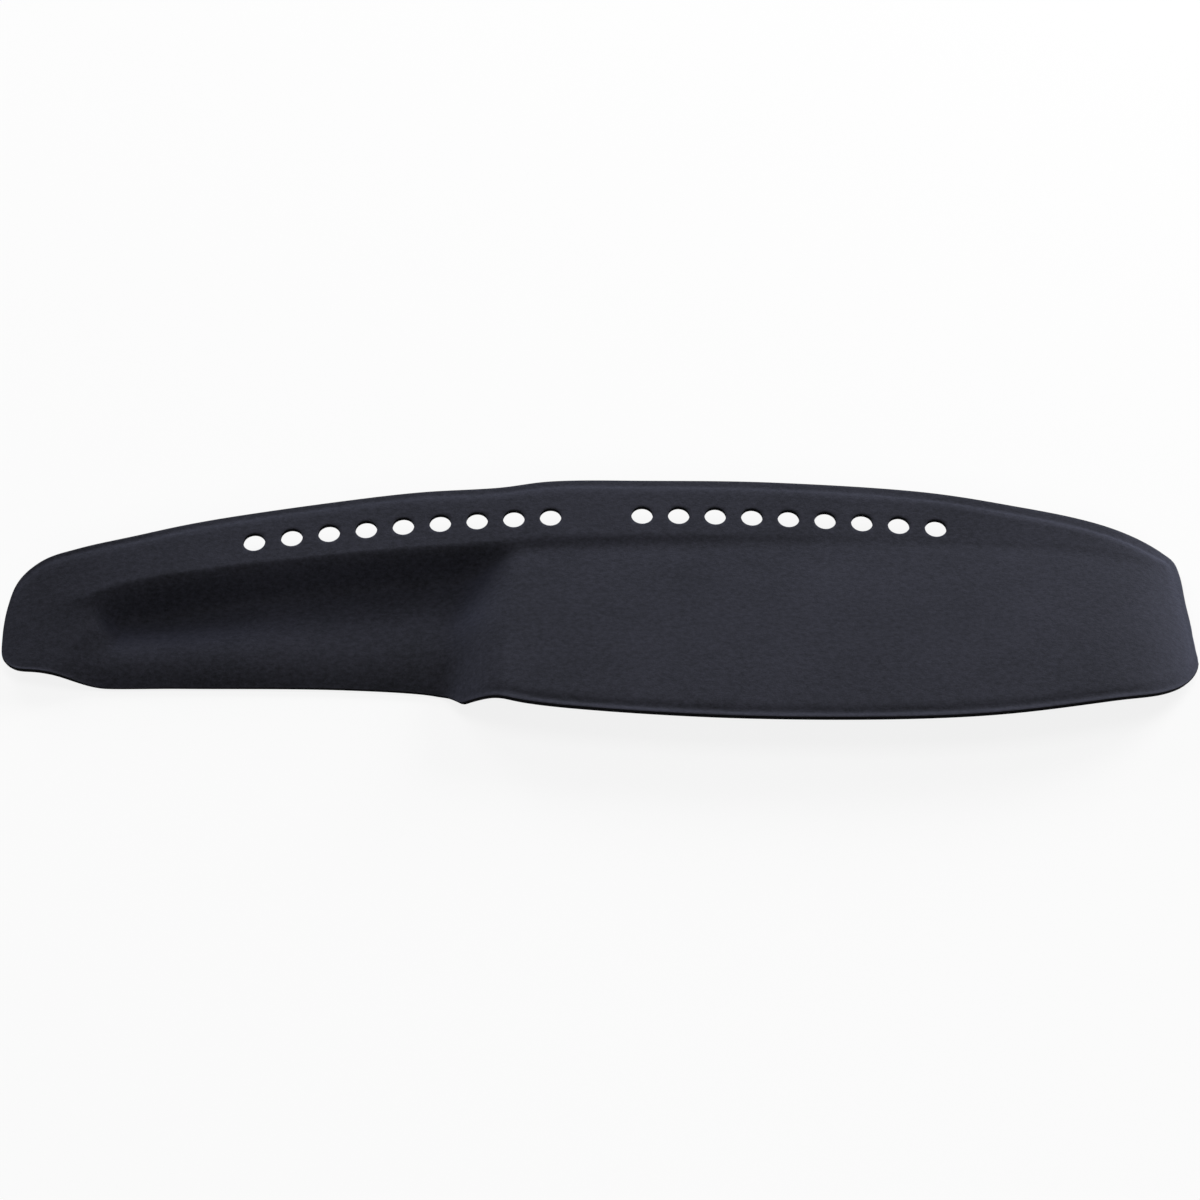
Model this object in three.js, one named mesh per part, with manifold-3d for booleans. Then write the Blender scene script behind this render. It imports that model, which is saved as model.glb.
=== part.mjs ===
// Cover mat for the top of a car's dashboard: one moulded piece of foam-backed suede cloth.
// Seen from the driver and passenger: X runs to the right along the windscreen, Y runs forward
// to the windscreen and Z is up. All sizes are millimetres.
import * as THREE from "three";
import { mergeVertices } from "three/addons/utils/BufferGeometryUtils.js";
import Module from "manifold-3d";

// The mat's edge seen from above, clockwise from the left tip: x, y and the width of the pressed
// hem there. The cloth's edge is smooth between these points.
const EDGE = [
  [-700, -94, 4], // left tip
  [-699, -53, 4],
  [-690, -18, 4],
  [-664, 7, 5], // rear corner, left
  [-622, 22, 6],
  [-552, 37, 7],
  [-458, 61, 7],
  [-315, 89, 7],
  [-219, 104, 7],
  [-122, 112, 8],
  [-61, 122, 8], // middle of the windscreen edge
  [61, 124, 8],
  [214, 123, 9],
  [396, 109, 10],
  [517, 84, 11],
  [623, 59, 12],
  [680, 41, 12], // rear corner, right
  [694, 34, 10],
  [699, 14, 8],
  [699, -30, 7],
  [701, -99, 6], // right tip
  [698, -126, 6],
  [678, -160, 6],
  [645, -185, 6],
  [585, -203, 7],
  [481, -222, 8],
  [367, -231, 8], // front of the hood
  [169, -231, 8],
  [0, -220, 8],
  [-85, -209, 8],
  [-125, -198, 8],
  [-146, -192, 6],
  [-156, -189, 4], // corner of the hood, which looks pointed from the seats
  [-166, -179, 4],
  [-176, -171, 4],
  [-197, -165, 4],
  [-302, -157, 4], // front of the tray
  [-488, -155, 4],
  [-592, -154, 4],
  [-650, -144, 4],
  [-680, -138, 4],
  [-695, -124, 4],
];

// Cloth and foam.
const PAD = 5; // thickness of cloth and foam
const HEM = 3.9; // thickness of the hem, where the foam is pressed
const HEM_STEP = 9; // width of the soft step from the hem up to the pad
const HEM_ROUND = 0.9; // rounding of the cut edge

// Heights of the underside above the floor that the mat rests on.
const BAND_HEIGHT = 50.5; // rear band at the line of the demister vents
const HOOD_HEIGHT = 45; // hood over the instruments, on its middle line
const LOBE_HEIGHT = 30; // lobe at the left end, in its middle

// The band rises to the windscreen by this slope, and rolls down a little at its rear edge.
const BAND_TILT = 0.06;
const REAR_ROLL = 0.8;
const REAR_ROLL_RUN = 28;

// Behind the hood the rear band sinks until it is only this much higher.
const BAND_OVER_HOOD = 0.4;
const BAND_SINK_FROM = -60;
const BAND_SINK_TO = 420;

// Front line of the rear band, which is two arcs that meet at LIP_CREST_X.
const LIP_Y = 37;
const LIP_CREST_X = 120;
const LIP_RADIUS_LEFT = 3380;
const LIP_RADIUS_RIGHT = 7100;

// Steep face that falls from the rear band into the tray, and low step down to the hood.
const FACE_ABOVE = -3; // where the face starts, behind the lip; less than 0 is in front of it
const FACE_RUN = 42; // how far the face runs, seen from above
const FACE_SKEW = 2.2; // above 1 the face is steeper near the lip and hollow at its foot
const STEP_ABOVE = 5; // where the step starts, behind the lip
const STEP_RUN = 38; // how far the step to the hood runs
const STEP_FROM = -160;
const STEP_TO = -70; // the face has turned into the step here

// Tray in front of the passenger, with a low crest along it and a rolled front.
const CREST_Y = -104;
const CREST_HEIGHT = 12;
const CREST_BEHIND = 56; // distance from the crest back to the level floor
const FLOOR_HEIGHT = 10; // level floor behind the crest
const HOLLOW_HEIGHT = 3; // the floor sinks to this in the hollow at the left
const HOLLOW_FROM = -300;
const HOLLOW_TO = -520;
const CREST_TURN = 16; // how far the crest's left end turns to the front
const CREST_TURN_FROM = -300;
const CREST_TURN_TO = -600;

// Slope from the tray up to the lobe.
const LOBE_SIDE_X = -584;
const LOBE_SIDE_RUN = 38;
const LOBE_FLARE = 22; // the slope's foot moves left by this much at the front edge
const LOBE_FLARE_RUN = 30; // and the slope grows longer by this much
const LOBE_FLARE_FROM = -84;
const LOBE_FLARE_TO = -150;
const LOBE_MIDDLE_Y = -60;
const LOBE_TILT = 0.16; // the lobe falls to the front by this slope
const LOBE_DROOP = 8; // how far the left tip hangs
const LOBE_DROOP_X = -640;
const LOBE_DROOP_RUN = 60;
const BAND_FALL_FROM = -490; // the rear band falls to the lobe's height between these two
const BAND_FALL_TO = -660;

// Slope from the tray up to the hood.
const HOOD_SIDE_X = -147;
const HOOD_SIDE_RUN = 84;
const HOOD_REAR_SHIFT = 12; // the slope moves right by this much towards the rear band
const HOOD_REAR_FROM = -115;
const HOOD_REAR_TO = -15;
const HOOD_CROWN = 0.8; // how far its top is lower at HOOD_HALF from its middle line
const HOOD_MIDDLE_Y = -95;
const HOOD_HALF = 100;
const HOOD_ROLL = 0.3; // drop of the hood's front edge
const HOOD_ROLL_RUN = 28;

// Right end, which curls down to the floor.
const CURL_FROM = 384;
const CURL_TO = 700;
const CURL_POWER = 5.2;

// Demister vents: two rows of round holes on one arc.
const VENT_DIAMETER = 26;
const VENT_COUNT = 9; // in each row
const VENT_PITCH = 44.2;
const VENT_LEFT_X = -413; // first hole of the left row
const VENT_RIGHT_X = 51.1; // first hole of the right row
const VENT_ARC_X = 90;
const VENT_ARC_Y = 69;
const VENT_ARC_RADIUS = 2860;
const VENT_SIDES = 24;
const VENT_CUTTER = 30; // length of the punch

// Mesh: lines that run across the mat stand at even steps within each of these stretches.
const STRETCHES = [
  [-640, 0],
  [-560, 10], // lobe and the slope below it
  [-230, 11], // tray
  [-186, 4],
  [-114, 12], // slope up to the hood
  [-50, 4],
  [360, 11], // hood
  [620, 11], // right end as it curls down
];
const END_SPOKES = 10; // lines that fan out round each end
const ROWS_TO_LINE = 4; // rows from the hem to the lip or crest
const ROWS_TO_SPINE = 8; // rows from there to the foot of the face
const EDGE_STEPS = 1230;

const CLOTH = { color: 0x3a3a44, roughness: 0.95, metalness: 0 };

// Rises smoothly from 0 to 1 as the value goes from one end to the other.
function ease(from, to, value) {
  const t = THREE.MathUtils.clamp((value - from) / (to - from), 0, 1);
  return (1 - Math.cos(Math.PI * t)) / 2;
}

const edgeLine = new THREE.CatmullRomCurve3(
  EDGE.map(([x, y, hem]) => new THREE.Vector3(x, y, hem)),
  true,
  "centripetal",
).getPoints(EDGE_STEPS);

// Where a straight line from a point inside meets the mat's edge: the place, the hem's width
// there and the cosine of the angle between the line and the edge's own normal.
function edgeFrom(x, y, dx, dy) {
  let found = null;
  for (let i = 0; i < edgeLine.length - 1; i++) {
    const a = edgeLine[i];
    const b = edgeLine[i + 1];
    const sideA = (a.x - x) * dy - (a.y - y) * dx;
    const sideB = (b.x - x) * dy - (b.y - y) * dx;
    if (sideA > 0 === sideB > 0) continue;
    const p = a.clone().lerp(b, sideA / (sideA - sideB));
    const reach = (p.x - x) * dx + (p.y - y) * dy;
    if (reach <= 0 || (found && found.reach < reach)) continue;
    const along = Math.hypot(b.x - a.x, b.y - a.y);
    const square = Math.abs((b.x - a.x) * dy - (b.y - a.y) * dx) / along;
    found = { x: p.x, y: p.y, hem: p.z, reach, square };
  }
  return found;
}

// Front line of the rear band.
function lipY(x) {
  const radius = x < LIP_CREST_X ? LIP_RADIUS_LEFT : LIP_RADIUS_RIGHT;
  return LIP_Y - (x - LIP_CREST_X) ** 2 / (2 * radius);
}

// Foot of the face below the rear band. It runs on under the hood as the middle of the mesh.
function spineY(x) {
  return lipY(x) + FACE_ABOVE - FACE_RUN;
}

function crestY(x) {
  return CREST_Y - CREST_TURN * ease(CREST_TURN_FROM, CREST_TURN_TO, x);
}

// Front and rear edges of the mat at x, kept inside the two tips.
const TIP_CLEARANCE = 12;
const leftTip = Math.min(...EDGE.map((p) => p[0])) + TIP_CLEARANCE;
const rightTip = Math.max(...EDGE.map((p) => p[0])) - TIP_CLEARANCE;
function edgeYAt(x, side) {
  const inside = THREE.MathUtils.clamp(x, leftTip, rightTip);
  return edgeFrom(inside, spineY(inside), 0, side).y;
}

function ventY(x) {
  return VENT_ARC_Y - (x - VENT_ARC_X) ** 2 / (2 * VENT_ARC_RADIUS);
}

// Tray: a floor that sinks to the left, up to the crest, then rolling down to the front edge.
function trayHeight(x, y) {
  const floor = FLOOR_HEIGHT + (HOLLOW_HEIGHT - FLOOR_HEIGHT) * ease(HOLLOW_FROM, HOLLOW_TO, x);
  const ridge = crestY(x);
  if (y > ridge) return floor + (CREST_HEIGHT - floor) * ease(ridge + CREST_BEHIND, ridge, y);
  const t = Math.min((ridge - y) / (ridge - edgeYAt(x, -1)), 1);
  return CREST_HEIGHT * (1 - t * t);
}

function lobeHeight(x, y) {
  const out = Math.max((LOBE_DROOP_X - x) / LOBE_DROOP_RUN, 0);
  return LOBE_HEIGHT + LOBE_TILT * (y - LOBE_MIDDLE_Y) - LOBE_DROOP * out * out;
}

function bandHeight(x, y) {
  const over = BAND_HEIGHT - HOOD_HEIGHT - BAND_OVER_HOOD;
  let band = BAND_HEIGHT - over * ease(BAND_SINK_FROM, BAND_SINK_TO, x);
  band += BAND_TILT * (y - ventY(x));
  band += (lobeHeight(x, y) - band) * ease(BAND_FALL_FROM, BAND_FALL_TO, x);
  const t = THREE.MathUtils.clamp((edgeYAt(x, 1) - y) / REAR_ROLL_RUN, 0, 1);
  return band - REAR_ROLL * (1 - t) ** 2;
}

function hoodHeight(x, y) {
  const crown = HOOD_CROWN * ((y - HOOD_MIDDLE_Y) / HOOD_HALF) ** 2;
  const t = THREE.MathUtils.clamp((y - edgeYAt(x, -1)) / HOOD_ROLL_RUN, 0, 1);
  return HOOD_HEIGHT - crown - HOOD_ROLL * (1 - t) ** 2;
}

// How much of the rear band is there: 0 in front of it, 1 on it.
function bandShare(x, y) {
  const step = ease(STEP_FROM, STEP_TO, x);
  const above = FACE_ABOVE + (STEP_ABOVE - FACE_ABOVE) * step;
  const run = FACE_RUN + (STEP_RUN - FACE_RUN) * step;
  const t = THREE.MathUtils.clamp((y - lipY(x) - above) / run + 1, 0, 1);
  return ease(0, 1, t ** FACE_SKEW);
}

// How much of the hood is there: 0 in the tray, 1 on the hood.
function hoodShare(x, y) {
  const middle = HOOD_SIDE_X + HOOD_REAR_SHIFT * ease(HOOD_REAR_FROM, HOOD_REAR_TO, y);
  return ease(middle - HOOD_SIDE_RUN / 2, middle + HOOD_SIDE_RUN / 2, x);
}

// How much of the lobe is there: 0 in the tray, 1 on the lobe.
function lobeShare(x, y) {
  const flare = ease(LOBE_FLARE_FROM, LOBE_FLARE_TO, y);
  const middle = LOBE_SIDE_X - LOBE_FLARE * flare;
  const half = (LOBE_SIDE_RUN + LOBE_FLARE_RUN * flare) / 2;
  return ease(middle + half, middle - half, x);
}

// Height of the mat's underside above the floor.
function underside(x, y) {
  let height = trayHeight(x, y);
  height += (hoodHeight(x, y) - height) * hoodShare(x, y);
  height += (lobeHeight(x, y) - height) * lobeShare(x, y);
  height += (bandHeight(x, y) - height) * bandShare(x, y);
  const curl = THREE.MathUtils.clamp((x - CURL_FROM) / (CURL_TO - CURL_FROM), 0, 1);
  return height * (1 - curl ** CURL_POWER);
}

// Unit normal of the underside, pointing up.
function normalAt(x, y) {
  const h = 0.5;
  const slopeX = (underside(x + h, y) - underside(x - h, y)) / (2 * h);
  const slopeY = (underside(x, y + h) - underside(x, y - h)) / (2 * h);
  return new THREE.Vector3(-slopeX, -slopeY, 1).normalize();
}

// A point at a height above the underside, measured square to it.
function lifted(x, y, thickness) {
  const base = new THREE.Vector3(x, y, underside(x, y));
  return thickness ? base.addScaledVector(normalAt(x, y), thickness) : base;
}

// Lines from the edge to the spine, in order round the mat: along the windscreen edge to the
// right, round the right end, back along the front edge and round the left end.
function meshLines() {
  const xs = [STRETCHES[0][0]];
  for (const [end, steps] of STRETCHES.slice(1)) {
    const start = xs[xs.length - 1];
    for (let i = 1; i <= steps; i++) xs.push(start + ((end - start) * i) / steps);
  }
  const left = xs[0];
  const right = xs[xs.length - 1];
  const line = (x, dx, dy, share) => {
    const hub = { x, y: spineY(x) };
    const edge = edgeFrom(x, hub.y, dx, dy);
    const behind = (lipY(x) + FACE_ABOVE - hub.y) / edgeFrom(x, hub.y, 0, 1).reach;
    const before = (hub.y - crestY(x)) / edgeFrom(x, hub.y, 0, -1).reach;
    const turn = edge.reach * (behind + (before - behind) * share);
    return { hub, edge, turn };
  };
  const fan = (x, side) =>
    Array.from({ length: END_SPOKES - 1 }, (_, i) => {
      const share = (i + 1) / END_SPOKES;
      const angle = Math.PI * share;
      return side > 0
        ? line(x, Math.sin(angle), Math.cos(angle), share)
        : line(x, -Math.sin(angle), -Math.cos(angle), 1 - share);
    });
  return [
    ...xs.map((x) => line(x, 0, 1, 0)),
    ...fan(right, 1),
    ...xs.toReversed().map((x) => line(x, 0, -1, 1)),
    ...fan(left, -1),
  ];
}

// Distances from the edge of the rows along one line, with the thickness at each.
function topRows({ edge, turn }) {
  const hem = edge.hem / edge.square;
  const pad = (edge.hem + HEM_STEP) / edge.square;
  const rows = [
    [0, HEM - HEM_ROUND],
    [HEM_ROUND / edge.square, HEM],
    [hem, HEM],
    [pad, PAD],
  ];
  const line = edge.reach - turn;
  for (let i = 1; i <= ROWS_TO_LINE; i++) {
    rows.push([pad + ((line - pad) * i) / ROWS_TO_LINE, PAD]);
  }
  for (let i = 1; i <= ROWS_TO_SPINE; i++) {
    rows.push([line + (turn * i) / ROWS_TO_SPINE, PAD]);
  }
  return rows;
}

// The underside has the same rows, without those of the hem.
function bottomRows(line) {
  const rows = topRows(line).slice(3);
  return [[0, 0], ...rows.map(([distance]) => [distance, 0])];
}

function pointsAlong({ hub, edge }, rows) {
  return rows.map(([distance, thickness]) => {
    const t = distance / edge.reach;
    const x = edge.x + (hub.x - edge.x) * t;
    const y = edge.y + (hub.y - edge.y) * t;
    return lifted(x, y, thickness);
  });
}

// The closed skin of the mat before the vents are cut.
function matGeometry() {
  const lines = meshLines();
  const top = lines.map((line) => pointsAlong(line, topRows(line)));
  const bottom = lines.map((line) => pointsAlong(line, bottomRows(line)));
  const corners = [];
  const quad = (a, b, c, d) => {
    corners.push(a, b, c, a, c, d);
  };
  lines.forEach((_, i) => {
    const next = (i + 1) % lines.length;
    for (let row = 0; row < top[i].length - 1; row++) {
      quad(top[i][row], top[i][row + 1], top[next][row + 1], top[next][row]);
    }
    for (let row = 0; row < bottom[i].length - 1; row++) {
      quad(bottom[i][row], bottom[next][row], bottom[next][row + 1], bottom[i][row + 1]);
    }
    quad(bottom[i][0], top[i][0], top[next][0], bottom[next][0]);
  });
  return new THREE.BufferGeometry().setFromPoints(corners);
}

// Punches for the vents, each square to the cloth.
function ventCutters() {
  const up = new THREE.Vector3(0, 1, 0);
  return [VENT_LEFT_X, VENT_RIGHT_X].flatMap((first) =>
    Array.from({ length: VENT_COUNT }, (_, i) => {
      const x = first + VENT_PITCH * i;
      const y = ventY(x);
      const radius = VENT_DIAMETER / 2;
      const punch = new THREE.CylinderGeometry(radius, radius, VENT_CUTTER, VENT_SIDES);
      punch.applyQuaternion(new THREE.Quaternion().setFromUnitVectors(up, normalAt(x, y)));
      const middle = lifted(x, y, PAD / 2);
      return punch.translate(middle.x, middle.y, middle.z);
    }),
  );
}

const wasm = await Module();
wasm.setup();

function toSolid(geometry) {
  geometry.deleteAttribute("normal");
  geometry.deleteAttribute("uv");
  const merged = mergeVertices(geometry, 1e-4);
  const position = merged.attributes.position;
  const kept = [];
  const index = merged.index.array;
  for (let i = 0; i < index.length; i += 3) {
    const [a, b, c] = index.subarray(i, i + 3);
    if (a !== b && b !== c && c !== a) kept.push(a, b, c);
  }
  return new wasm.Manifold(
    new wasm.Mesh({
      numProp: 3,
      vertProperties: position.array,
      triVerts: new Uint32Array(kept),
    }),
  );
}

function fromSolid(solid) {
  const { vertProperties, triVerts } = solid.getMesh();
  const indexed = new THREE.BufferGeometry();
  indexed.setAttribute("position", new THREE.BufferAttribute(vertProperties, 3));
  indexed.setIndex(new THREE.BufferAttribute(triVerts, 1));
  return indexed;
}

let solid = toSolid(matGeometry());
for (const cutter of ventCutters()) solid = solid.subtract(toSolid(cutter));
const geometry = fromSolid(solid);
geometry.computeVertexNormals();

const mat = new THREE.Mesh(geometry, new THREE.MeshStandardMaterial(CLOTH));
mat.name = "dash_cover_mat";

// The part stands with the middle of its box at the origin, on the floor.
geometry.computeBoundingBox();
const middle = geometry.boundingBox.getCenter(new THREE.Vector3());
mat.position.set(-middle.x, -middle.y, -geometry.boundingBox.min.z);

const part = new THREE.Group();
part.add(mat);
export default part;
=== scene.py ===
# %% [markdown]
# # A moulded cover mat for a car's dashboard
#
# The real mat is one piece of charcoal suede cloth on thin foam. It is pressed hot over a form,
# so it keeps the dashboard's shape: a rear band with demister vents, a raised hood, a tray in
# front of the passenger and a thin hem all round. This lesson builds that skin as one function
# of two parameters, cuts the vents by bending the grid round them, and gives the cloth its nap.

import bpy
import numpy as np
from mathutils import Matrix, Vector


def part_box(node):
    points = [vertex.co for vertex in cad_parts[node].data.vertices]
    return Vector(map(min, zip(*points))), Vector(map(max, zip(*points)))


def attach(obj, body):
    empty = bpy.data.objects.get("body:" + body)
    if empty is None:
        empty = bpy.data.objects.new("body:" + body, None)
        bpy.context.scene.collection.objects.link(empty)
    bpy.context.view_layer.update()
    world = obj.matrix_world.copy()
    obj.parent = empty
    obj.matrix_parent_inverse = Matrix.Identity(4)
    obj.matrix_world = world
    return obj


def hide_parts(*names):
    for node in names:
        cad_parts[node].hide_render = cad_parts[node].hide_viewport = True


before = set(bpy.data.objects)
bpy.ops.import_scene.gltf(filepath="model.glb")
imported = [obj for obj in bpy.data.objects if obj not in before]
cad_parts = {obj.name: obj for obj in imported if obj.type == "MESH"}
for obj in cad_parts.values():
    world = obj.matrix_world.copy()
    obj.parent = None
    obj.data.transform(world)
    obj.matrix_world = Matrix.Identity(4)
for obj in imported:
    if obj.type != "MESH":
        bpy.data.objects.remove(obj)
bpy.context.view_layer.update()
MAT = "dash_cover_mat"
mat_low, mat_high = (np.array(corner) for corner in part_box(MAT))
print("the mat's solid is", np.round(mat_high - mat_low, 4), "m")

# %% [markdown]
# ## Camera and floor first
#
# The photograph looks down on the mat from the seats. The vents are round, and they look about
# two thirds as high as they are wide, so the camera stands some 50 degrees above the floor. A
# 70 mm lens from 2.8 m keeps the ends from looking bent. The camera comes first, because every
# later choice is judged through it.

# %% Camera
MM = 0.001
CAMERA_ELEVATION = np.radians(50.0)
CAMERA_DISTANCE = 2.769
LENS = 70.0
LOOK_AT = Vector((0.0, 0.013, 0.0257))


def aimed(data, name, place, target):
    """An object at a place whose own -Z axis points at the target."""
    thing = bpy.data.objects.new(name, data)
    thing.location = place
    thing.rotation_euler = (Vector(target) - Vector(place)).to_track_quat("-Z", "Y").to_euler()
    bpy.context.collection.objects.link(thing)
    return thing


camera_data = bpy.data.cameras.new("camera")
camera_data.lens = LENS
camera_back = Vector((0.0, -np.cos(CAMERA_ELEVATION), np.sin(CAMERA_ELEVATION)))
camera = aimed(camera_data, "camera", LOOK_AT + camera_back * CAMERA_DISTANCE, LOOK_AT)
bpy.context.scene.camera = camera
print("camera at", [round(v, 3) for v in camera.location])


# %% A few helpers for materials
def new_material(name):
    """A material with an empty node tree, and a function that adds nodes to it."""
    material = bpy.data.materials.new(name)
    material.use_nodes = True
    tree = material.node_tree
    tree.nodes.clear()
    return material, tree


def add_node(tree, kind, **values):
    """A node of a kind. Values set its own properties, or its sockets where a name matches one."""
    node = tree.nodes.new(kind)
    for key, value in values.items():
        label = key.replace("_", " ").title()
        if label in node.inputs:
            node.inputs[label].default_value = value
        else:
            setattr(node, key, value)
    return node


# %% [markdown]
# ## A white floor that keeps its shadow
#
# The photograph's ground is white. More light would wash out the cloth, so the floor's own
# material helps instead: a ray straight from the camera sees mostly a white glow, and partly a
# white diffuse floor, on which the mat's shadow still falls. All other rays meet the plain floor.

# %% Floor
FLOOR_HALF = 4.0
FLOOR_COLOUR = (0.80, 0.80, 0.80, 1.0)
FLOOR_GLOW = 0.84

floor_mesh = bpy.data.meshes.new("floor")
floor_corners = [(x * FLOOR_HALF, y * FLOOR_HALF, 0.0) for x, y in ((-1, -1), (1, -1), (1, 1), (-1, 1))]
floor_mesh.from_pydata(floor_corners, [], [(0, 1, 2, 3)])
floor = bpy.data.objects.new("floor", floor_mesh)
bpy.context.collection.objects.link(floor)

floor_material, tree = new_material("white floor")
diffuse = add_node(tree, "ShaderNodeBsdfDiffuse", color=FLOOR_COLOUR)
glow = add_node(tree, "ShaderNodeEmission")
path = add_node(tree, "ShaderNodeLightPath")
share = add_node(tree, "ShaderNodeMath", operation="MULTIPLY")
share.inputs[1].default_value = FLOOR_GLOW
mix = add_node(tree, "ShaderNodeMixShader")
out = add_node(tree, "ShaderNodeOutputMaterial")
tree.links.new(path.outputs["Is Camera Ray"], share.inputs[0])
tree.links.new(share.outputs[0], mix.inputs["Fac"])
tree.links.new(diffuse.outputs[0], mix.inputs[1])
tree.links.new(glow.outputs[0], mix.inputs[2])
tree.links.new(mix.outputs[0], out.inputs["Surface"])
floor_mesh.materials.append(floor_material)
print("floor of", 2 * FLOOR_HALF, "m")

# %% [markdown]
# ## The mat's edge
#
# Seen from above, the edge is one closed curve. The list has only the points that the shape
# needs, clockwise from the left tip, in millimetres: x, y, the width of the hem, how far its rim
# springs back above the pressed groove, and how deep the groove lies below the pad. The X axis
# runs along the windscreen and Y runs forward to it. A centripetal Catmull-Rom curve passes
# through every point and never loops between two close ones, which a plain one may.

# %% Edge points
EDGE = np.array([
    (-700, -94, 4, 0.2, 0.3), (-699, -53, 4, 0.2, 0.3), (-690, -18, 4, 0.3, 0.6),
    (-664, 7, 5, 0.5, 0.8), (-622, 22, 6, 0.6, 0.9), (-552, 37, 7, 0.6, 0.9),
    (-458, 61, 7, 0.4, 1.0), (-315, 89, 7, 0.3, 1.0), (-219, 104, 7, 0.2, 1.0),
    (-122, 112, 8, 0.2, 1.1), (-61, 122, 8, 0.2, 1.2), (61, 124, 8, 0.2, 1.2),
    (214, 123, 9, 0.2, 1.2), (396, 109, 10, 0.1, 1.4), (517, 84, 11, 0.1, 1.6),
    (623, 59, 12, 0.1, 1.6), (680, 41, 12, 0.1, 1.4), (694, 34, 10, 0.1, 1.0),
    (699, 14, 8, 0.1, 0.7), (699, -30, 7, 0.1, 0.5), (701, -99, 6, 0.2, 0.5),
    (698, -126, 6, 0.5, 0.6), (678, -160, 6, 0.9, 0.8), (645, -185, 6, 1.0, 1.0),
    (585, -203, 7, 1.1, 1.1), (481, -222, 8, 1.2, 1.2), (367, -231, 8, 1.3, 1.2),
    (169, -231, 8, 1.4, 1.2), (0, -220, 8, 1.4, 1.2), (-85, -209, 8, 1.2, 1.1),
    (-125, -198, 8, 0.9, 0.9), (-146, -192, 6, 0.5, 0.6), (-156, -189, 4, 0.2, 0.3),
    (-166, -179, 4, 0.1, 0.2), (-176, -171, 4, 0.1, 0.2), (-197, -165, 4, 0.1, 0.1),
    (-302, -157, 4, 0.1, 0.1), (-488, -155, 4, 0.1, 0.1), (-592, -154, 4, 0.2, 0.1),
    (-650, -144, 4, 0.7, 0.3), (-680, -138, 4, 0.7, 0.3), (-695, -124, 4, 0.3, 0.3),
], dtype=float)
EDGE_STEPS = 48


def smooth_loop(points, steps):
    """Closed curve through the points. Each stretch is a cubic whose end slopes come from the
    neighbouring points, with time running as the square root of the distance between points."""
    before, here, after, later = (np.roll(points, s, axis=0) for s in (1, 0, -1, -2))
    d0, d1, d2 = (
        np.sqrt(np.linalg.norm(b - a, axis=1))[:, None]
        for a, b in ((before, here), (here, after), (after, later))
    )
    leave = ((here - before) / d0 - (after - before) / (d0 + d1) + (after - here) / d1) * d1
    arrive = ((after - here) / d1 - (later - here) / (d1 + d2) + (later - after) / d2) * d1
    t = (np.arange(steps) / steps)[None, :, None]
    here, after, leave, arrive = (a[:, None] for a in (here, after, leave, arrive))
    curve = (
        here
        + leave * t
        + (3 * (after - here) - 2 * leave - arrive) * t**2
        + (2 * (here - after) + leave + arrive) * t**3
    ).reshape(-1, points.shape[1])
    return np.vstack([curve, curve[:1]])


edge_line = smooth_loop(EDGE, EDGE_STEPS)
print("edge curve of", len(edge_line), "points")


def edge_from(x, y, dx, dy):
    """Where straight lines from inside places meet the edge. A line crosses a stretch of the edge
    where the stretch's two ends lie on different sides of it; the nearest crossing ahead counts.
    Gives the point with its hem's sizes, the distance, and the cosine between the line and the
    edge's normal."""
    x, y, dx, dy = (v[:, None] for v in np.broadcast_arrays(*map(np.atleast_1d, (x, y, dx, dy))))
    side = (edge_line[:, 0] - x) * dy - (edge_line[:, 1] - y) * dx
    crosses = (side[:, :-1] > 0) != (side[:, 1:] > 0)
    t = side[:, :-1] / np.where(crosses, side[:, :-1] - side[:, 1:], 1.0)
    a, b = edge_line[:-1], edge_line[1:]
    reach = (a[:, 0] + (b - a)[:, 0] * t - x) * dx + (a[:, 1] + (b - a)[:, 1] * t - y) * dy
    pick = np.where(crosses & (reach > 0), reach, np.inf).argmin(axis=1)
    row = np.arange(len(pick))
    point = a[pick] + (b - a)[pick] * t[row, pick][:, None]
    run = (b - a)[pick]
    square = np.abs(run[:, 0] * dy[:, 0] - run[:, 1] * dx[:, 0]) / np.hypot(run[:, 0], run[:, 1])
    names = ("x", "y", "hem", "rim", "groove")
    return dict(zip(names, point.T)) | {"reach": reach[row, pick], "square": square}


# %% [markdown]
# ## The moulded form
#
# The underside's height is one formula of x and y. It starts from the tray's floor, then raises
# the hood at the right, the lobe at the left and the rear band behind them. Each is mixed in
# with a share that goes from 0 to 1 along a smooth half wave, so the slopes have soft feet and
# soft shoulders like pressed foam. These are the solid's own sizes, apart from the hem: the
# solid's is flat, with a shoulder that is a millimetre narrower.

# %% Sizes of the form, in millimetres
# Cloth and foam, and the soft shoulder between the hem and the full thickness.
PAD = 5.0
HEM_STEP = 10.0
# Heights at the vents' line, on the hood's middle line and in the lobe's middle.
BAND_HEIGHT = 50.5
HOOD_HEIGHT = 45.0
LOBE_HEIGHT = 30.0
# Rear band: how much higher than the hood it ends at the right, its slope, the roll of its rear
# edge, and between which two X it sinks.
BAND_OVER_HOOD = 0.4
BAND_TILT = 0.06
REAR_ROLL = 0.8
REAR_ROLL_RUN = 28.0
BAND_SINK = (-60.0, 420.0)
# Front line of the rear band: a flat parabola each side of its crest.
LIP_Y = 37.0
LIP_CREST_X = 120.0
LIP_RADIUS_LEFT = 3380.0
LIP_RADIUS_RIGHT = 7100.0
# Steep face down into the tray: how far behind that line its top lies (a negative one lies in
# front), its run, and the power that draws out its foot, which the low step shares.
FACE_ABOVE = -3.0
FACE_RUN = 42.0
FACE_SKEW = 2.2
# Low step down to the hood, and where along X the face turns into it.
STEP_ABOVE = 5.0
STEP_RUN = 38.0
STEP_TURN = (-160.0, -70.0)
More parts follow.
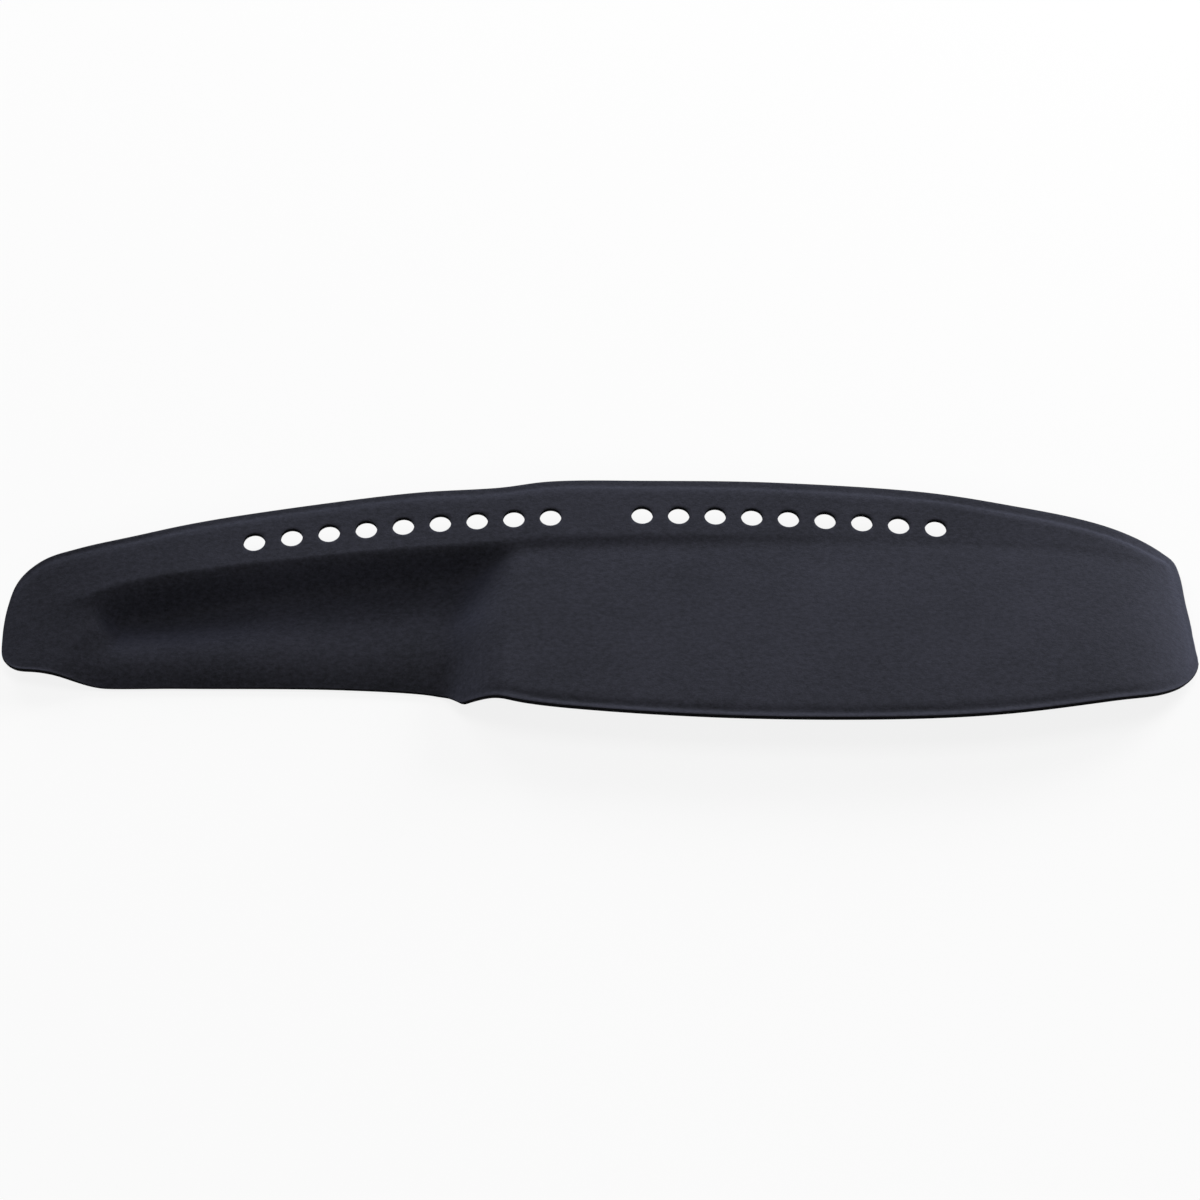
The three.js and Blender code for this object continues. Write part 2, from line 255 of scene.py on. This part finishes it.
# Tray: a low crest, the floor behind it, the hollow at the left and the crest's turn there.
CREST_Y = -104.0
CREST_HEIGHT = 12.0
CREST_BEHIND = 56.0
FLOOR_HEIGHT = 10.0
HOLLOW_HEIGHT = 3.0
HOLLOW_SPAN = (-300.0, -520.0)
CREST_TURN = 16.0
CREST_TURN_SPAN = (-300.0, -600.0)
# Lobe: the slope up to it, which flares towards the front edge, its tilt, its drooping tip, and
# between which two X the rear band falls to it.
LOBE_SIDE_X = -584.0
LOBE_SIDE_RUN = 38.0
LOBE_FLARE = 22.0
LOBE_FLARE_RUN = 30.0
LOBE_FLARE_SPAN = (-84.0, -150.0)
LOBE_MIDDLE_Y = -60.0
LOBE_TILT = 0.16
LOBE_DROOP = 8.0
LOBE_DROOP_X = -640.0
LOBE_DROOP_RUN = 60.0
BAND_FALL = (-490.0, -660.0)
# Hood: the slope up to it, its crown, and the roll of its front edge.
HOOD_SIDE_X = -147.0
HOOD_SIDE_RUN = 84.0
HOOD_REAR_SHIFT = 12.0
HOOD_REAR_SPAN = (-115.0, -15.0)
HOOD_CROWN = 0.8
HOOD_MIDDLE_Y = -95.0
HOOD_HALF = 100.0
HOOD_ROLL = 0.3
HOOD_ROLL_RUN = 28.0
# Right end, which curls down between these two X along this power.
CURL = (384.0, 700.0)
CURL_POWER = 5.2
# Vents: two rows of round holes along one parabola, as flat as an arc of this radius.
VENT_DIAMETER = 26.0
VENT_COUNT = 9
VENT_PITCH = 44.2
VENT_FIRST = (-413.0, 51.1)
VENT_ARC_X = 90.0
VENT_ARC_Y = 69.0
VENT_ARC_RADIUS = 2860.0


# %% Heights
def ease(start, end, value):
    """0 before the start, 1 after the end, and half a cosine wave between them."""
    t = np.clip((value - start) / (end - start), 0, 1)
    return (1 - np.cos(np.pi * t)) / 2


def lip_y(x):
    """Front line of the rear band: a parabola each side of its crest, as flat as a big arc."""
    radius = np.where(x < LIP_CREST_X, LIP_RADIUS_LEFT, LIP_RADIUS_RIGHT)
    return LIP_Y - (x - LIP_CREST_X) ** 2 / (2 * radius)


def spine_y(x):
    """Foot of the face below the band; the grid's middle line follows it under the hood too."""
    return lip_y(x) + FACE_ABOVE - FACE_RUN


def vent_y(x):
    """Middle line of the two rows of vents, a parabola as flat as a very big arc."""
    return VENT_ARC_Y - (x - VENT_ARC_X) ** 2 / (2 * VENT_ARC_RADIUS)


TIP_CLEARANCE = 12
EDGE_SAMPLES = 700
EDGE_X = np.linspace(EDGE[:, 0].min() + TIP_CLEARANCE, EDGE[:, 0].max() - TIP_CLEARANCE, EDGE_SAMPLES)
FRONT_Y = edge_from(EDGE_X, spine_y(EDGE_X), 0.0, -1.0)["y"]
REAR_Y = edge_from(EDGE_X, spine_y(EDGE_X), 0.0, 1.0)["y"]


def front_y(x):
    """The front edge at x, read between points worked out once."""
    return np.interp(x, EDGE_X, FRONT_Y)


def rear_y(x):
    """The rear edge at x, in the same way."""
    return np.interp(x, EDGE_X, REAR_Y)


def tray_height(x, y):
    """A floor that sinks into the hollow at the left, up a half wave to the crest, then down a
    parabola to the front edge."""
    floor = FLOOR_HEIGHT + (HOLLOW_HEIGHT - FLOOR_HEIGHT) * ease(*HOLLOW_SPAN, x)
    ridge = CREST_Y - CREST_TURN * ease(*CREST_TURN_SPAN, x)
    t = np.clip((ridge - y) / (ridge - front_y(x)), 0, 1)
    behind = floor + (CREST_HEIGHT - floor) * ease(ridge + CREST_BEHIND, ridge, y)
    return np.where(y > ridge, behind, CREST_HEIGHT * (1 - t**2))


def lobe_height(x, y):
    """A plane that falls to the front, whose left tip droops with the square of the distance."""
    out = np.maximum((LOBE_DROOP_X - x) / LOBE_DROOP_RUN, 0)
    return LOBE_HEIGHT + LOBE_TILT * (y - LOBE_MIDDLE_Y) - LOBE_DROOP * out**2


def band_height(x, y):
    """A plane through the vents' line that rises to the windscreen, sinks a little behind the hood
    and falls to the lobe at the left. Its rear edge rolls down as a parabola."""
    over = BAND_HEIGHT - HOOD_HEIGHT - BAND_OVER_HOOD
    band = BAND_HEIGHT - over * ease(*BAND_SINK, x) + BAND_TILT * (y - vent_y(x))
    band = band + (lobe_height(x, y) - band) * ease(*BAND_FALL, x)
    t = np.clip((rear_y(x) - y) / REAR_ROLL_RUN, 0, 1)
    return band - REAR_ROLL * (1 - t) ** 2


def hood_height(x, y):
    """Crowned a little as a parabola from rear to front, and its front edge rolls down as one."""
    crown = HOOD_CROWN * ((y - HOOD_MIDDLE_Y) / HOOD_HALF) ** 2
    t = np.clip((y - front_y(x)) / HOOD_ROLL_RUN, 0, 1)
    return HOOD_HEIGHT - crown - HOOD_ROLL * (1 - t) ** 2


def underside(x, y):
    """Height of the underside: tray, then hood, lobe and band mixed in by their shares."""
    step = ease(*STEP_TURN, x)
    above = FACE_ABOVE + (STEP_ABOVE - FACE_ABOVE) * step
    run = FACE_RUN + (STEP_RUN - FACE_RUN) * step
    band = ease(0, 1, np.clip((y - lip_y(x) - above) / run + 1, 0, 1) ** FACE_SKEW)
    side = HOOD_SIDE_X + HOOD_REAR_SHIFT * ease(*HOOD_REAR_SPAN, y)
    hood = ease(side - HOOD_SIDE_RUN / 2, side + HOOD_SIDE_RUN / 2, x)
    flare = ease(*LOBE_FLARE_SPAN, y)
    middle = LOBE_SIDE_X - LOBE_FLARE * flare
    half = (LOBE_SIDE_RUN + LOBE_FLARE_RUN * flare) / 2
    lobe = ease(middle + half, middle - half, x)
    height = tray_height(x, y)
    height = height + (hood_height(x, y) - height) * hood
    height = height + (lobe_height(x, y) - height) * lobe
    height = height + (band_height(x, y) - height) * band
    curl = np.clip((x - CURL[0]) / (CURL[1] - CURL[0]), 0, 1)
    return height * (1 - curl**CURL_POWER)


SLOPE_HALF_STEP = 0.5


def lifted(x, y, thickness):
    """Points at a thickness above the underside, measured along its normal. The normal comes from
    the height's slopes, taken over a millimetre."""
    h = SLOPE_HALF_STEP
    slope_x = (underside(x + h, y) - underside(x - h, y)) / (2 * h)
    slope_y = (underside(x, y + h) - underside(x, y - h)) / (2 * h)
    up = 1 / np.sqrt(1 + slope_x**2 + slope_y**2)
    z = underside(x, y)
    return np.stack([x - slope_x * up * thickness, y - slope_y * up * thickness, z + up * thickness], -1)


print("tray crest", round(float(tray_height(np.array(-350.0), np.array(CREST_Y))), 1), "mm")

# %% [markdown]
# ## The hem's section
#
# Round the edge the foam is pressed down, hardest along a line some millimetres inside the cut.
# So the section is a shallow groove: a rim that springs back at the cut edge, the groove's floor
# where the hem ends, and a long soft shoulder up to the full foam. Light from behind makes the
# groove's far side bright in front and dark at the back, which is what draws the mat's outline.

# %% Thickness by distance from the edge
EDGE_ROUND = 0.9


def thickness(distance, hem, rim, groove):
    """Quarter circle up to the rim, half a wave down to the groove where the hem ends, and half a
    wave up to the full pad."""
    inside = np.clip(EDGE_ROUND - distance, 0, EDGE_ROUND)
    height = PAD - groove + rim - EDGE_ROUND + np.sqrt(EDGE_ROUND**2 - inside**2)
    height = height - rim * ease(EDGE_ROUND, hem, distance)
    return height + groove * ease(hem, hem + HEM_STEP, distance)


# %% [markdown]
# ## One grid for the whole skin
#
# Lines run from the edge to a middle line that follows the foot of the face: straight up and
# down the mat, and fanned out round each end. Rows cross them. The lines stand a twelfth of the
# vents' pitch apart, so every vent has the same whole cells round it, and twelve rows run along
# the arc of the vents for the same reason.

# %% Lines
CELLS_PER_PITCH = 12
CELL = VENT_PITCH / CELLS_PER_PITCH
BLOCK = CELLS_PER_PITCH // 2
LINES_LEFT_OF_VENTS = 62
LINES_RIGHT_OF_VENTS = 281
FAN = 60

line_x = VENT_FIRST[0] + CELL * np.arange(-LINES_LEFT_OF_VENTS, LINES_RIGHT_OF_VENTS + 1)
across = len(line_x)
turn = np.pi * np.arange(1, FAN) / FAN
hub_x = np.concatenate([line_x, np.full(FAN - 1, line_x[-1]), line_x[::-1], np.full(FAN - 1, line_x[0])])
direction_x = np.concatenate([np.zeros(across), np.sin(turn), np.zeros(across), -np.sin(turn)])
direction_y = np.concatenate([np.ones(across), np.cos(turn), -np.ones(across), -np.cos(turn)])
hub_y = spine_y(hub_x)
edge = edge_from(hub_x, hub_y, direction_x, direction_y)
hub_index = np.concatenate(
    [np.arange(across), np.full(FAN - 1, across - 1), np.arange(across)[::-1], np.zeros(FAN - 1, int)]
)
print(len(hub_x), "lines,", across, "of them across the rear band")

# %% Rows
ROUND_ROWS = np.array([0.0, 0.12, 0.45, EDGE_ROUND])  # distances from the edge
HEM_SHARES = np.array([0.35, 0.55, 0.78, 1.0])  # shares of the hem's width
SHOULDER_ROWS = np.array([1.5, 3.0, 4.5, 7.0, HEM_STEP + 2.0])  # distances past the hem
HEM_ROWS = len(ROUND_ROWS) + len(HEM_SHARES) + len(SHOULDER_ROWS)
CUT_ROWS = len(ROUND_ROWS) - 1  # rows of the cut's rounding, which show foam and no cloth
UNDER_FIRST = CUT_ROWS  # the underside begins this many rows in
ROWS_BEHIND_VENTS = 5
ROWS_TO_SPINE = 18
VENT_ROW = HEM_ROWS - 1 + ROWS_BEHIND_VENTS + BLOCK

hem = edge["hem"][:, None]
hem_rows = np.hstack([ROUND_ROWS + 0 * hem, HEM_SHARES * hem, SHOULDER_ROWS + hem])
hem_rows = hem_rows / edge["square"][:, None]
first = hem_rows[:, -1]

back = slice(0, across)
behind = np.maximum(edge["y"][back] - vent_y(line_x) - BLOCK * CELL, first[back] + ROWS_BEHIND_VENTS)
before = behind + 2 * BLOCK * CELL


def spread(start, end, count):
    """Values from a start to an end in even steps, without the start, for each line."""
    return start[:, None] + (end - start)[:, None] * np.arange(1, count + 1) / count


back_rows = np.hstack([
    spread(first[back], behind, ROWS_BEHIND_VENTS),
    spread(behind, before, 2 * BLOCK),
    spread(before, edge["reach"][back], ROWS_TO_SPINE),
])
back_share = (back_rows - first[back, None]) / (edge["reach"][back] - first[back])[:, None]
front_share = np.arange(1, back_share.shape[1] + 1)[None] / back_share.shape[1]
blend = (np.arange(1, FAN) / FAN)[:, None]
share = np.vstack([
    back_share,
    back_share[-1] + (front_share - back_share[-1]) * blend,
    np.repeat(front_share, across, axis=0),
    front_share + (back_share[0] - front_share) * blend,
])
rows = np.hstack([hem_rows, first[:, None] + share * (edge["reach"] - first)[:, None]])
plan_x = edge["x"][:, None] - direction_x[:, None] * rows
plan_y = edge["y"][:, None] - direction_y[:, None] * rows
true_distance = rows * edge["square"][:, None]
print(rows.shape[1], "rows")

# %% [markdown]
# ## Vents by bending the grid
#
# A punch leaves round holes in square cells. Instead of a boolean, which would leave thin
# triangles, the cells round each vent are bent: the square ring of points four cells out moves
# onto the circle, the ring six cells out stays, and the ring between moves half as far. The
# cells inside are then left out. Each ring has the same points on both sides of the mat, so a
# short wall joins them.

# %% Bend the cells
HOLE_RING = 4
HOLE_ROUND = 0.7
ROW_GAP = round((VENT_FIRST[1] - VENT_FIRST[0]) / CELL)
vent_columns = np.concatenate([
    LINES_LEFT_OF_VENTS + CELLS_PER_PITCH * np.arange(VENT_COUNT),
    LINES_LEFT_OF_VENTS + ROW_GAP + CELLS_PER_PITCH * np.arange(VENT_COUNT),
])
steps = np.arange(-BLOCK, BLOCK + 1)
cell_x, cell_y = np.meshgrid(steps, steps, indexing="ij")
ring = np.maximum(abs(cell_x), abs(cell_y))
pull = np.clip((BLOCK - ring) / (BLOCK - HOLE_RING), 0, 1)


def bent(radius):
    """The plan with every vent's cells bent onto a circle of this radius. A point moves from its
    own place towards the circle by the share of its ring."""
    x, y = plan_x.copy(), plan_y.copy()
    for column in vent_columns:
        block = np.ix_(column + steps, VENT_ROW + steps)
        middle_x, middle_y = line_x[column], vent_y(line_x[column])
        away_x, away_y = x[block] - middle_x, y[block] - middle_y
        far = np.maximum(np.hypot(away_x, away_y), 1e-6)
        x[block] += (middle_x + away_x / far * radius - x[block]) * pull
        y[block] += (middle_y + away_y / far * radius - y[block]) * pull
    return x, y


def ring_indices():
    """Walks once round the square ring, as steps from the middle: up one side, along the next."""
    n = HOLE_RING
    s = np.arange(-n, n)
    return (
        np.concatenate([s, np.full(2 * n, n), -s, np.full(2 * n, -n)]),
        np.concatenate([np.full(2 * n, -n), s, np.full(2 * n, n), -s]),
    )


# %% Skin
def skin_points(radius, thick, first_row):
    """Points of one side of the mat, and the index of each line's and row's point. The last row
    of every line is its hub on the middle line, shared by the lines that meet there."""
    x, y = bent(radius)
    points = lifted(x[:, first_row:-1], y[:, first_row:-1], thick[:, first_row:-1])
    lines, count = points.shape[:2]
    hubs = lifted(line_x, spine_y(line_x), np.full(across, thick[0, -1]))
    index = np.hstack([np.arange(lines * count).reshape(lines, count), (lines * count + hub_index)[:, None]])
    return np.vstack([points.reshape(-1, 3), hubs]), index


def skin_faces(index, first_row, outwards):
    """Two triangles for each cell, left out inside the vents and where two corners are one."""
    keep = np.ones((index.shape[0], index.shape[1] - 1), bool)
    inner = np.arange(-HOLE_RING, HOLE_RING)
    for column in vent_columns:
        keep[np.ix_(column + inner, VENT_ROW - first_row + inner)] = False
    near, far = index, np.roll(index, -1, axis=0)
    a, b, c, d = (v[keep] for v in (near[:, :-1], near[:, 1:], far[:, 1:], far[:, :-1]))
    faces = np.vstack([np.stack([a, b, c], 1), np.stack([a, c, d], 1)])
    faces = faces[(faces[:, 0] != faces[:, 1]) & (faces[:, 1] != faces[:, 2]) & (faces[:, 2] != faces[:, 0])]
    return faces if outwards else faces[:, ::-1]


def joined(loop_a, loop_b):
    """Triangles between two closed loops of indices with the same number of points."""
    a, b = np.roll(loop_a, -1), np.roll(loop_b, -1)
    return np.vstack([np.stack([loop_a, loop_b, b], 1), np.stack([loop_a, b, a], 1)])


top_thickness = thickness(true_distance, hem, edge["rim"][:, None], edge["groove"][:, None])
top_points, top_index = skin_points(VENT_DIAMETER / 2 + HOLE_ROUND, top_thickness, 0)
under_points, under_index = skin_points(VENT_DIAMETER / 2, np.zeros_like(rows), UNDER_FIRST)
under_index = under_index + len(top_points)
print(len(top_points), "points on top,", len(under_points), "below")

# %% Cut edge and vent walls
WALL = np.array([(0.35, 0.0), (0.10, 0.12), (0.0, 0.45)])  # distance from the edge, height
# The vents' rounding: its middle and its end, as shares of its radius outwards and down.
HOLE_SECTION = ((0.29, 0.29), (0.0, 1.0))
wall_points, wall_loops = [], []
count = len(top_points) + len(under_points)
for inset, height in WALL:
    x = edge["x"] - direction_x * inset / edge["square"]
    y = edge["y"] - direction_y * inset / edge["square"]
    wall_points.append(lifted(x, y, np.full(len(x), height)))
    wall_loops.append(count + np.arange(len(x)))
    count += len(x)
edge_loops = [under_index[:, 0], *wall_loops, *top_index[:, : CUT_ROWS + 1].T]
wall_faces = [joined(a, b) for a, b in zip(edge_loops[:-1], edge_loops[1:])]

ring_x, ring_y = ring_indices()
rounding_faces = []
for column in vent_columns:
    top_ring = top_index[column + ring_x, VENT_ROW + ring_y]
    under_ring = under_index[column + ring_x, VENT_ROW - UNDER_FIRST + ring_y]
    middle = np.array([line_x[column], vent_y(line_x[column])])
    away = top_points[top_ring, :2] - middle
    away /= np.linalg.norm(away, axis=1)[:, None]
    loops = [top_ring]
    for out, drop in HOLE_SECTION:
        at = middle + away * (VENT_DIAMETER / 2 + out * HOLE_ROUND)
        wall_points.append(lifted(at[:, 0], at[:, 1], np.full(len(at), PAD - drop * HOLE_ROUND)))
        loops.append(count + np.arange(len(at)))
        count += len(at)
    rounding_faces += [joined(a, b) for a, b in zip(loops[:-1], loops[1:])]
    wall_faces.append(joined(loops[-1], under_ring))

cloth_faces = np.vstack([skin_faces(top_index[:, CUT_ROWS:], CUT_ROWS, True), *rounding_faces])
foam_faces = np.vstack([skin_faces(under_index, UNDER_FIRST, False), *wall_faces])
points = np.vstack([top_points, under_points, *wall_points])
print(len(cloth_faces), "cloth faces,", len(foam_faces), "foam faces")

# %% [markdown]
# ## Into one mesh
#
# All points are in the drawing's millimetres. The mesh is moved so that the middle of its box, seen
# from above, and its lowest point fall on the solid's, and it is turned into metres. The faces of
# the cloth and of the foam keep their own material.


# %% Mesh
def solid_mesh(name, points, faces, slots):
    """A smooth closed mesh from points and triangles, with a material slot for each face."""
    mesh = bpy.data.meshes.new(name)
    mesh.vertices.add(len(points))
    mesh.vertices.foreach_set("co", points.astype(np.float32).ravel())
    mesh.loops.add(faces.size)
    mesh.loops.foreach_set("vertex_index", faces.astype(np.int32).ravel())
    mesh.polygons.add(len(faces))
    mesh.polygons.foreach_set("loop_start", np.arange(0, faces.size, 3, dtype=np.int32))
    mesh.polygons.foreach_set("material_index", slots.astype(np.int32))
    mesh.update(calc_edges=True)
    mesh.validate()
    mesh.shade_smooth()
    thing = bpy.data.objects.new(name, mesh)
    bpy.context.collection.objects.link(thing)
    return thing


middle = (points.max(axis=0) + points.min(axis=0))[:2] / 2
shift = (mat_low + mat_high)[:2] / 2 - middle * MM
placed = points * MM + np.array([*shift, mat_low[2] - points[:, 2].min() * MM])
faces = np.vstack([cloth_faces, foam_faces])
slots = np.repeat([0, 1], [len(cloth_faces), len(foam_faces)])
mat = solid_mesh("cover_mat", placed, faces, slots)
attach(mat, "root")
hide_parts(MAT)
print("mat of", len(faces), "triangles, shifted by", np.round(shift, 5))

# %% [markdown]
# ## Suede cloth
#
# The cloth is brushed, so a fine short nap stands on it. It shows in three ways: a speckle of one
# to five millimetres, soft brighter and darker patches where the nap leans one way or the other,
# and a dusty gleam where light grazes it, which is what the sheen layer is for. There is almost
# no gloss.


# %% Nap, as a group that both materials use
NAP_STRETCH = (0.7, 1.0, 1.0)  # fibres are a little longer along the mat
CLUMP_SCALE = 0.24  # the clumps' noise scale, as a share of the fibres'
CLUMP_SHARE = 0.58


def nap_group():
    """Noise at three sizes. Shade mixes all three for colour; Height, for the bump, has no patches."""
    group = bpy.data.node_groups.new("nap", "ShaderNodeTree")
    for name, value in (("Fibre Scale", 900.0), ("Patch Scale", 9.0), ("Patch Share", 0.3)):
        socket = group.interface.new_socket(name=name, in_out="INPUT", socket_type="NodeSocketFloat")
        socket.default_value = value
    for name in ("Shade", "Height"):
        group.interface.new_socket(name=name, in_out="OUTPUT", socket_type="NodeSocketFloat")
    inside = add_node(group, "NodeGroupInput")
    outside = add_node(group, "NodeGroupOutput")
    place = add_node(group, "ShaderNodeTexCoord")
    stretch = add_node(group, "ShaderNodeMapping")
    stretch.inputs["Scale"].default_value = NAP_STRETCH
    fibre = add_node(group, "ShaderNodeTexNoise", detail=3.0, roughness=0.7)
    clump = add_node(group, "ShaderNodeTexNoise", detail=3.0, roughness=0.65)
    patch = add_node(group, "ShaderNodeTexNoise", detail=3.0, roughness=0.5)
    clump_scale = add_node(group, "ShaderNodeMath", operation="MULTIPLY")
    clump_scale.inputs[1].default_value = CLUMP_SCALE
    speckle = add_node(group, "ShaderNodeMix", data_type="FLOAT")
    speckle.inputs["Factor"].default_value = CLUMP_SHARE
    whole = add_node(group, "ShaderNodeMix", data_type="FLOAT")
    link = group.links.new
    link(place.outputs["Object"], stretch.inputs["Vector"])
    for noise in (fibre, clump, patch):
        link(stretch.outputs["Vector"], noise.inputs["Vector"])
    link(inside.outputs["Fibre Scale"], fibre.inputs["Scale"])
    link(inside.outputs["Fibre Scale"], clump_scale.inputs[0])
    link(clump_scale.outputs[0], clump.inputs["Scale"])
    link(inside.outputs["Patch Scale"], patch.inputs["Scale"])
    link(fibre.outputs["Fac"], speckle.inputs["A"])
    link(clump.outputs["Fac"], speckle.inputs["B"])
    link(inside.outputs["Patch Share"], whole.inputs["Factor"])
    link(speckle.outputs["Result"], whole.inputs["A"])
    link(patch.outputs["Fac"], whole.inputs["B"])
    link(whole.outputs["Result"], outside.inputs["Shade"])
    link(speckle.outputs["Result"], outside.inputs["Height"])
    return group


NAP = nap_group()


def napped(
    name, dark, light, contrast, bump, distance, gloss, roughness, sheen, sheen_roughness, tint, scales
):
    """A cloth or foam: its colour runs from dark to light with the nap, and the nap's two finer
    noises bump it. Sheen, roughness and tint are plain values of the shader."""
    material, tree = new_material(name)
    nap = add_node(tree, "ShaderNodeGroup", node_tree=NAP)
    for socket, value in scales.items():
        nap.inputs[socket].default_value = value
    ramp = add_node(tree, "ShaderNodeValToRGB")
    ramp.color_ramp.elements[0].position = 0.5 - contrast
    ramp.color_ramp.elements[1].position = 0.5 + contrast
    ramp.color_ramp.elements[0].color = (*dark, 1.0)
    ramp.color_ramp.elements[1].color = (*light, 1.0)
    dent = add_node(tree, "ShaderNodeBump", strength=bump, distance=distance)
    shader = add_node(tree, "ShaderNodeBsdfPrincipled")
    shader.inputs["Roughness"].default_value = roughness
    shader.inputs["Specular IOR Level"].default_value = gloss
    shader.inputs["Sheen Weight"].default_value = sheen
    shader.inputs["Sheen Roughness"].default_value = sheen_roughness
    shader.inputs["Sheen Tint"].default_value = (*tint, 1.0)
    out = add_node(tree, "ShaderNodeOutputMaterial")
    tree.links.new(nap.outputs["Shade"], ramp.inputs["Fac"])
    tree.links.new(ramp.outputs["Color"], shader.inputs["Base Color"])
    tree.links.new(nap.outputs["Height"], dent.inputs["Height"])
    tree.links.new(dent.outputs["Normal"], shader.inputs["Normal"])
    tree.links.new(shader.outputs[0], out.inputs["Surface"])
    return material


suede = napped(
    "charcoal suede",
    dark=(0.0024, 0.0026, 0.0036),
    light=(0.0176, 0.0178, 0.0252),
    contrast=0.115,
    bump=0.8,
    distance=0.0006,
    gloss=0.25,
    roughness=0.95,
    sheen=0.32,
    sheen_roughness=0.45,
    tint=(0.54, 0.60, 1.0),
    scales={"Fibre Scale": 900.0, "Patch Scale": 9.0, "Patch Share": 0.25},
)
foam = napped(
    "black foam",
    dark=(0.003, 0.003, 0.0035),
    light=(0.008, 0.008, 0.009),
    contrast=0.2,
    bump=0.4,
    distance=0.0005,
    gloss=0.03,
    roughness=0.9,
    sheen=0.0,
    sheen_roughness=0.6,
    tint=(1.0, 1.0, 1.0),
    scales={"Fibre Scale": 1500.0, "Patch Scale": 20.0, "Patch Share": 0.2},
)
mat.data.materials.append(suede)
mat.data.materials.append(foam)
print("materials:", [m.name for m in mat.data.materials])

# %% [markdown]
# ## Light
#
# The photograph's light comes from behind and low, more from the right than from the left: the
# steep face in the tray turns away from it and is almost black, and the right end, which curls
# towards it, is the brightest part of the cloth. So two big soft lamps stand low behind the mat.
# One overhead lifts the level parts, a weaker one in front opens the dark slopes, and a faint
# world fills the rest. Together they light a level surface so that its colour renders about as
# it is written. The lamps stand far off, so both ends of the mat get nearly the same light.

# %% Lamps and world
WORLD_LIGHT = 0.08
# Each lamp: name, turn from the windscreen towards the right end, height angle, watts, size.
LAMP_DISTANCE = 7.0
LAMPS = [
    ("key", 46.0, 16.0, 600.0, 2.8),
    ("back", -30.0, 16.0, 285.0, 2.8),
    ("overhead", 0.0, 78.0, 160.0, 3.5),
    ("front fill", 180.0, 40.0, 125.0, 3.5),
]
for name, turn_angle, height_angle, power, size in LAMPS:
    turned, raised = np.radians(turn_angle), np.radians(height_angle)
    direction = Vector((np.cos(raised) * np.sin(turned), np.cos(raised) * np.cos(turned), np.sin(raised)))
    lamp_data = bpy.data.lights.new(name, "AREA")
    lamp_data.energy = power
    lamp_data.size = size
    aimed(lamp_data, name, direction * LAMP_DISTANCE, (0.0, 0.0, 0.0))

world = bpy.data.worlds.new("world")
bpy.context.scene.world = world
world.use_nodes = True
tree = world.node_tree
tree.nodes.clear()
soft = add_node(tree, "ShaderNodeBackground")
soft.inputs["Color"].default_value = (1.0, 1.0, 1.0, 1.0)
soft.inputs["Strength"].default_value = WORLD_LIGHT
white = add_node(tree, "ShaderNodeBackground")
white.inputs["Color"].default_value = (1.0, 1.0, 1.0, 1.0)
seen = add_node(tree, "ShaderNodeLightPath")
mix = add_node(tree, "ShaderNodeMixShader")
out = add_node(tree, "ShaderNodeOutputWorld")
tree.links.new(seen.outputs["Is Camera Ray"], mix.inputs["Fac"])
tree.links.new(soft.outputs[0], mix.inputs[1])
tree.links.new(white.outputs[0], mix.inputs[2])
tree.links.new(mix.outputs[0], out.inputs["Surface"])
print(len(LAMPS), "lamps of", sum(lamp[3] for lamp in LAMPS), "W")

# %% [markdown]
# ## Colours as written
#
# The Standard view keeps the colours as they are written, with no film curve.

# %% View
bpy.context.scene.view_settings.view_transform = "Standard"
